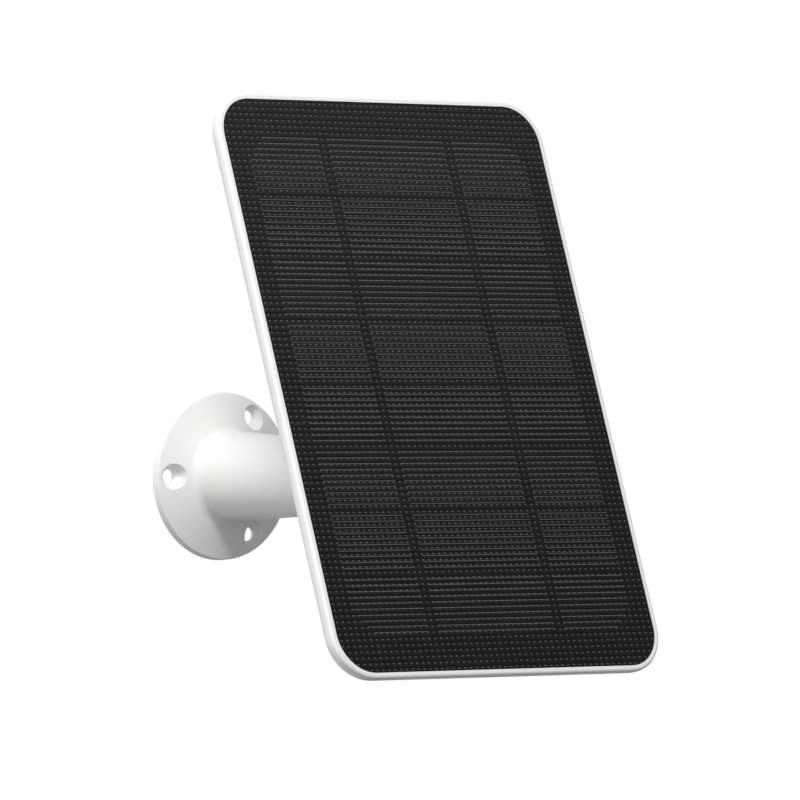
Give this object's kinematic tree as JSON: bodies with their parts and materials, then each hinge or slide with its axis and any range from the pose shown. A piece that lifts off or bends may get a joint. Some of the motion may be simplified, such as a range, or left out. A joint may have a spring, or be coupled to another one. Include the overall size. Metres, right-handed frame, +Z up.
{
  "type": "solar charging panel with wall bracket",
  "caption": "Small tilting solar charging panel with a dimpled black face in a thin white tray, carried on a tapered swivel arm with a round screw-on wall flange.",
  "frame": {"origin": "centre of the wall flange's back face, on the arm's axis", "axes": "+Y points into the wall, so the arm runs out along -Y; +Z is up; +X is to the right as seen facing the wall"},
  "size_m": [0.1186, 0.1286, 0.162],
  "materials": {
    "bracket_plastic": "fine moulded grain",
    "shell_plastic": "fine moulded grain",
    "dark_rubber": "matt",
    "cover_rubber": "matt soft-touch",
    "steel": "zinc plated",
    "brass": "turned",
    "nylon": "plain moulded",
    "adhesive": "cured silicone",
    "backing": "glass-fibre laminate",
    "encapsulant": "clear resin over black",
    "solar_film": "dimpled clear film over black",
    "cell": "dark coated silicon",
    "ribbon": "black coated copper ribbon",
    "circuit_board": "solder mask",
    "black_component": "moulded epoxy",
    "tan_component": "ceramic",
    "red_insulation": "extruded insulation"
  },
  "bodies": {
    "bracket": {"wall_bracket": "bracket_plastic", "friction_ring": "dark_rubber"},
    "swivel_head": {"fork_head": "bracket_plastic", "swivel_insert": "brass", "swivel_screw": "steel", "swivel_washer": "steel", "spring_washer": "steel", "tilt_bolt": "steel", "knob_washer": "steel"},
    "knob": {"tilt_knob": "bracket_plastic", "knob_insert": "brass"},
    "panel": {"panel_mount": "bracket_plastic", "mount_screws": "steel", "mount_inserts": "brass", "tilt_washer_left": "nylon", "tilt_washer_right": "nylon", "back_shell": "shell_plastic", "laminate_adhesive": "adhesive", "backing_board": "backing", "encapsulant_rear": "encapsulant", "cell_strip_1": "cell", "cell_strip_2": "cell", "cell_strip_3": "cell", "cell_strip_4": "cell", "cell_strip_5": "cell", "cell_strip_6": "cell", "cell_strip_7": "cell", "cell_strip_8": "cell", "bus_ribbon_left": "ribbon", "bus_ribbon_right": "ribbon", "encapsulant_front": "encapsulant", "surface_film": "solar_film", "regulator_board": "circuit_board", "board_screws": "steel", "regulator_chip": "black_component", "inductor": "black_component", "blocking_diode": "black_component", "capacitors": "tan_component", "cell_lead_positive": "red_insulation", "cell_lead_negative": "black_component", "socket_lead_positive": "red_insulation", "socket_lead_negative": "black_component", "port_housing": "shell_plastic", "housing_screws": "steel", "socket_shell": "steel", "socket_tongue": "black_component", "socket_seal": "dark_rubber", "socket_board": "circuit_board", "cover_pin": "steel"},
    "cover": {"port_cover": "cover_rubber"}
  },
  "joints": [
    {"name": "swivel", "type": "hinge", "parent": "bracket", "child": "swivel_head", "pos_m": [0, -0.0733, 0], "axis": [0, -1, 0], "continuous": true},
    {"name": "tilt", "type": "hinge", "parent": "swivel_head", "child": "panel", "pos_m": [0, -0.0733, 0], "axis": [-1, 0, 0], "range_deg": [-74, 35]},
    {"name": "knob_turn", "type": "hinge", "parent": "swivel_head", "child": "knob", "pos_m": [0, -0.0733, 0], "axis": [1, 0, 0], "continuous": true},
    {"name": "cover_flap", "type": "hinge", "parent": "panel", "child": "cover", "pos_m": [0, -0.10375, -0.0495], "axis": [1, 0, 0], "range_deg": [0, 110]}
  ]
}
